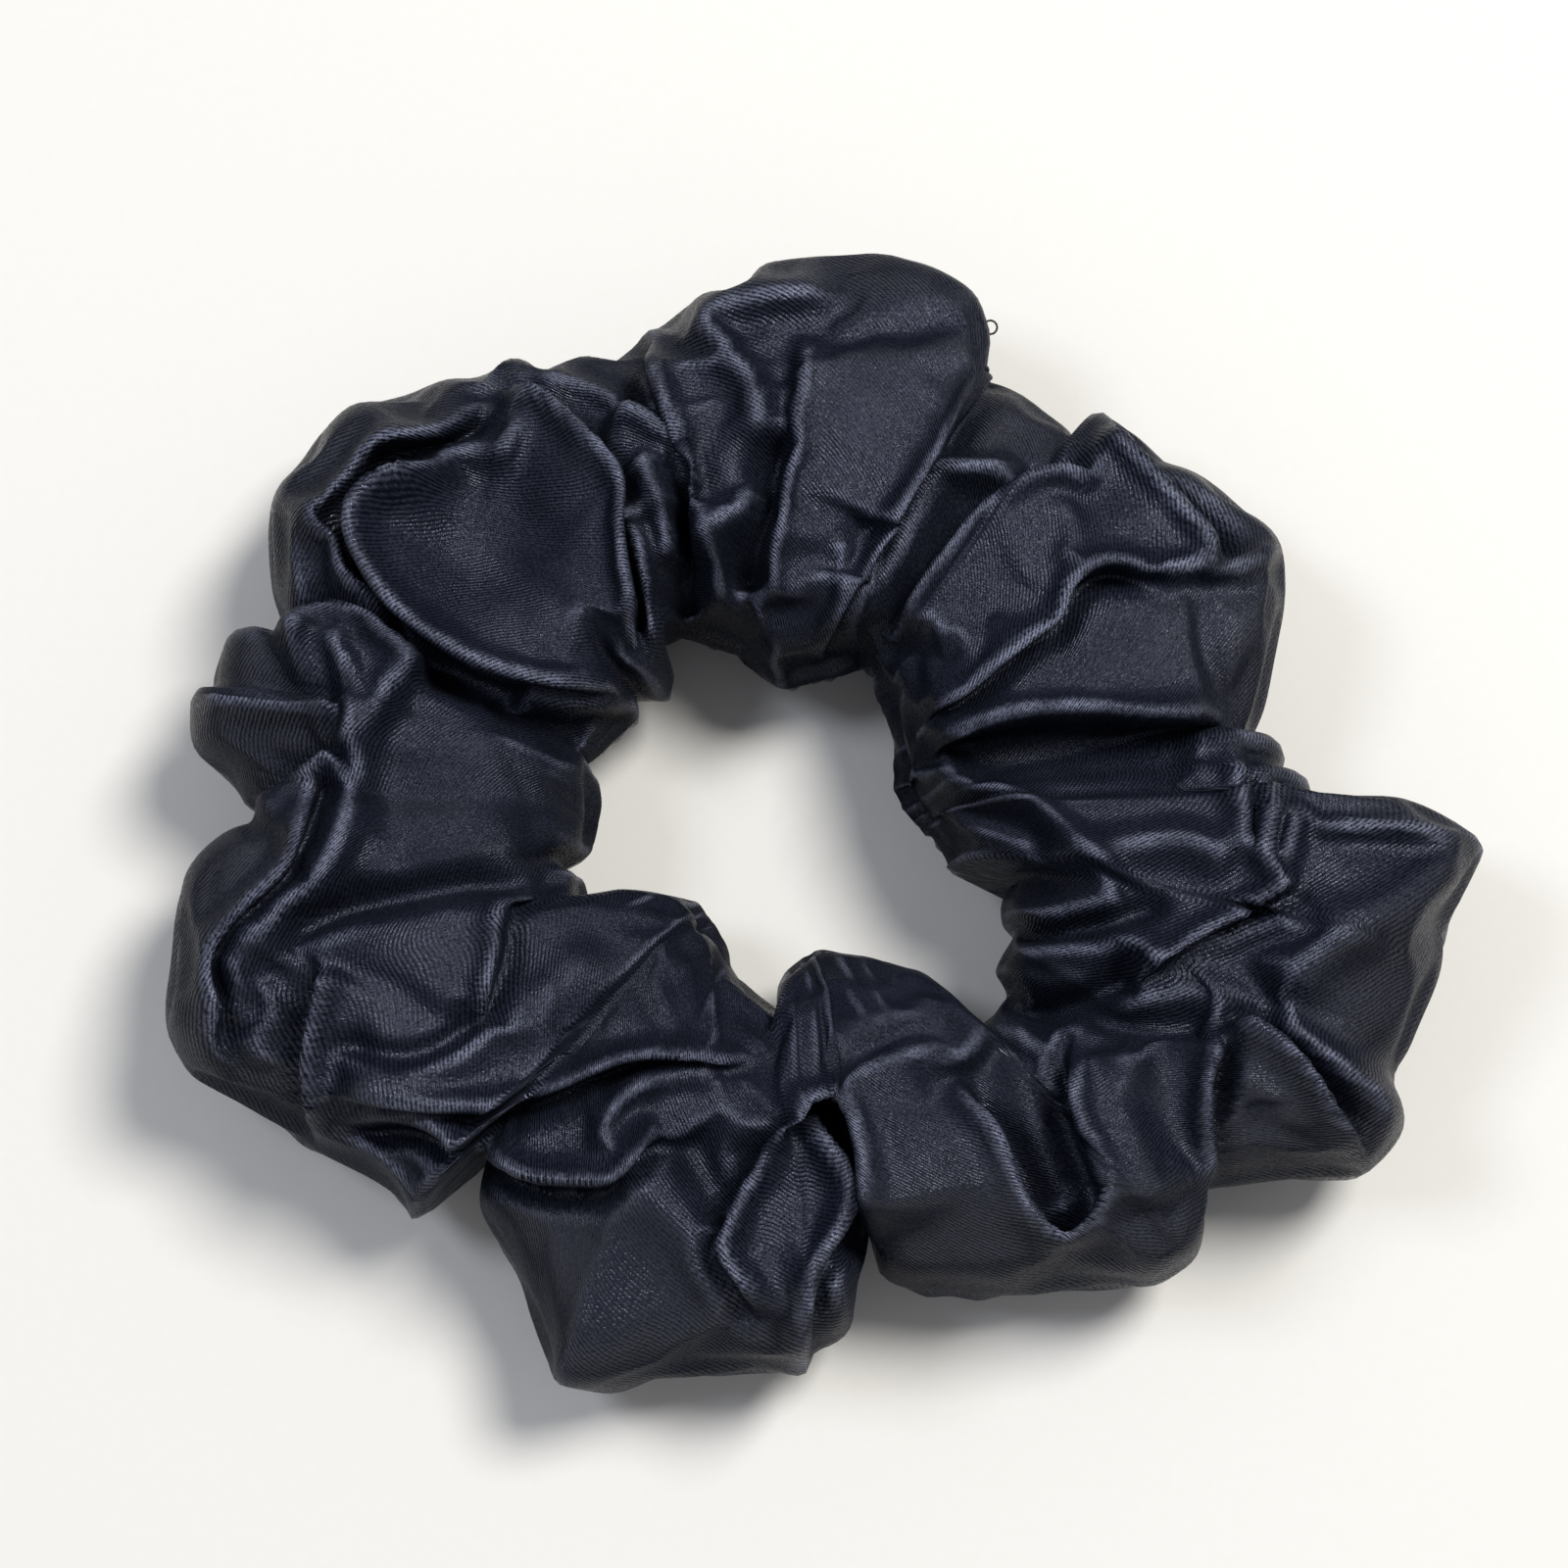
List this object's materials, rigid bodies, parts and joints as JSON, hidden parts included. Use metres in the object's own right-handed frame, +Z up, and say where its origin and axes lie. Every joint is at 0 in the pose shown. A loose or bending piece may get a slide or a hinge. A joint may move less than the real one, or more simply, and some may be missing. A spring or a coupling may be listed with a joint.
{
  "type": "hair scrunchie",
  "caption": "Gathered satin tube closed into a ring over an inner elastic loop, which stretches round a ponytail or bun and springs back.",
  "frame": {"origin": "on the surface the scrunchie lies on, under the middle of its bounding box", "axes": "+X along its longest side, the way it is stretched; +Y across, away from a viewer at the near side; +Z up, along the way hair goes through the hole"},
  "size_m": [0.1152, 0.1015, 0.0316],
  "materials": {
    "satin": "black satin weave with a navy cast: very dark in the folds, a soft grey-blue gloss along the ridges, fine weave lines",
    "elastic": "braided rubber-cored elastic, matt black, ribbed along its length",
    "sewing_thread": "twisted polyester sewing thread, black, slightly lustrous"
  },
  "bodies": {
    "left_half": {"satin_cover_left": "satin", "elastic_band_left": "elastic", "tube_seam_thread_left": "sewing_thread"},
    "right_half": {"satin_cover_right": "satin", "elastic_band_right": "elastic", "tube_seam_thread_right": "sewing_thread", "elastic_lap_end": "elastic", "lap_zigzag_thread": "sewing_thread", "closing_seam_thread": "sewing_thread", "loose_thread_loop": "sewing_thread"}
  },
  "joints": [
    {"name": "stretch", "type": "slide", "parent": "left_half", "child": "right_half", "axis": [1, 0, 0], "range_m": [0, 0.12], "stiffness_N_per_m": 15}
  ]
}
